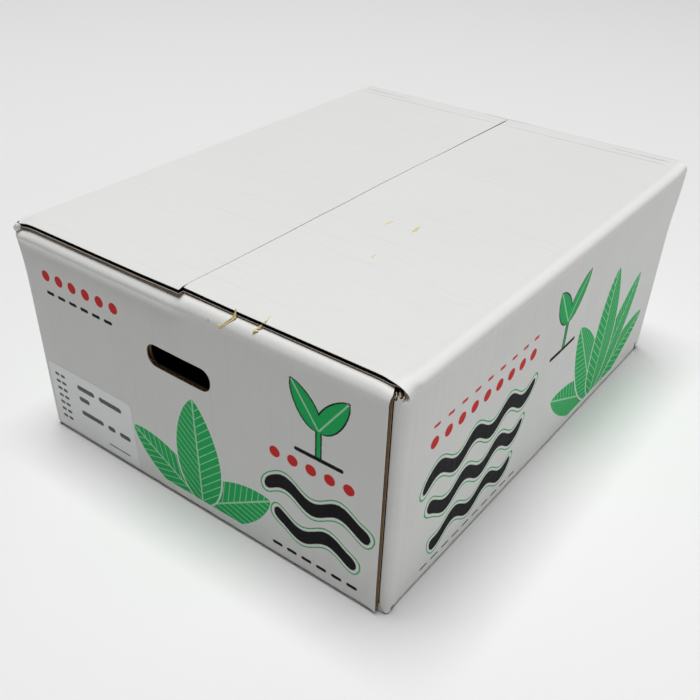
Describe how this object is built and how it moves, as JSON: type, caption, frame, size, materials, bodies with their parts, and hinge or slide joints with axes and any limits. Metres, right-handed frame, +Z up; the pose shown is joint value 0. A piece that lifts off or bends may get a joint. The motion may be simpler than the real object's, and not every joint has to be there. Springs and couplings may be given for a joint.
{
  "type": "corrugated cardboard melon carton",
  "caption": "White-faced corrugated cardboard carton for melons, long and low, with hinged top flaps, a slot-shaped hand hole in each end and a paper label",
  "frame": {"origin": "middle of the underside, on the surface that the carton stands on", "axes": "+X along the long sides, away from the end with the label; +Y across, towards the side without the glued joint; +Z up"},
  "size_m": [0.4387, 0.341, 0.188],
  "materials": {
    "white_faced_board": "matt white paper face with green, red and black print, bare kraft inside",
    "kraft_board": "bare brown kraft, matt",
    "label_paper": "smooth white paper",
    "set_hot_glue": "pale yellow, waxy"
  },
  "bodies": {
    "carton": {"end_panel_near": "white_faced_board", "end_panel_far": "white_faced_board", "side_panel_right": "white_faced_board", "side_panel_left": "white_faced_board", "glue_tab": "kraft_board", "bottom_outer_flap_right": "white_faced_board", "bottom_outer_flap_left": "white_faced_board", "bottom_inner_flap_near": "white_faced_board", "bottom_inner_flap_far": "white_faced_board", "glue_bead_bottom_near_1": "set_hot_glue", "glue_bead_bottom_near_2": "set_hot_glue", "glue_bead_bottom_near_3": "set_hot_glue", "glue_bead_bottom_near_4": "set_hot_glue", "glue_bead_bottom_far_1": "set_hot_glue", "glue_bead_bottom_far_2": "set_hot_glue", "glue_bead_bottom_far_3": "set_hot_glue", "glue_bead_bottom_far_4": "set_hot_glue", "label": "label_paper"},
    "right_flap": {"top_outer_flap_right": "white_faced_board"},
    "left_flap": {"top_outer_flap_left": "white_faced_board"},
    "near_flap": {"top_inner_flap_near": "white_faced_board", "glue_bead_top_near_1": "set_hot_glue", "glue_bead_top_near_2": "set_hot_glue", "glue_bead_top_near_3": "set_hot_glue", "glue_bead_top_near_4": "set_hot_glue"},
    "far_flap": {"top_inner_flap_far": "white_faced_board", "glue_bead_top_far_1": "set_hot_glue", "glue_bead_top_far_2": "set_hot_glue", "glue_bead_top_far_3": "set_hot_glue", "glue_bead_top_far_4": "set_hot_glue"}
  },
  "joints": [
    {"name": "right_flap_crease", "type": "hinge", "parent": "carton", "child": "right_flap", "pos_m": [0, -0.1705, 0.188], "axis": [1, 0, 0], "range_deg": [0, 240]},
    {"name": "left_flap_crease", "type": "hinge", "parent": "carton", "child": "left_flap", "pos_m": [0, 0.1705, 0.188], "axis": [-1, 0, 0], "range_deg": [0, 240]},
    {"name": "near_flap_crease", "type": "hinge", "parent": "carton", "child": "near_flap", "pos_m": [-0.2147, 0, 0.1791], "axis": [0, 1, 0], "range_deg": [0, 60]},
    {"name": "far_flap_crease", "type": "hinge", "parent": "carton", "child": "far_flap", "pos_m": [0.2147, 0, 0.1791], "axis": [0, -1, 0], "range_deg": [0, 60]}
  ]
}
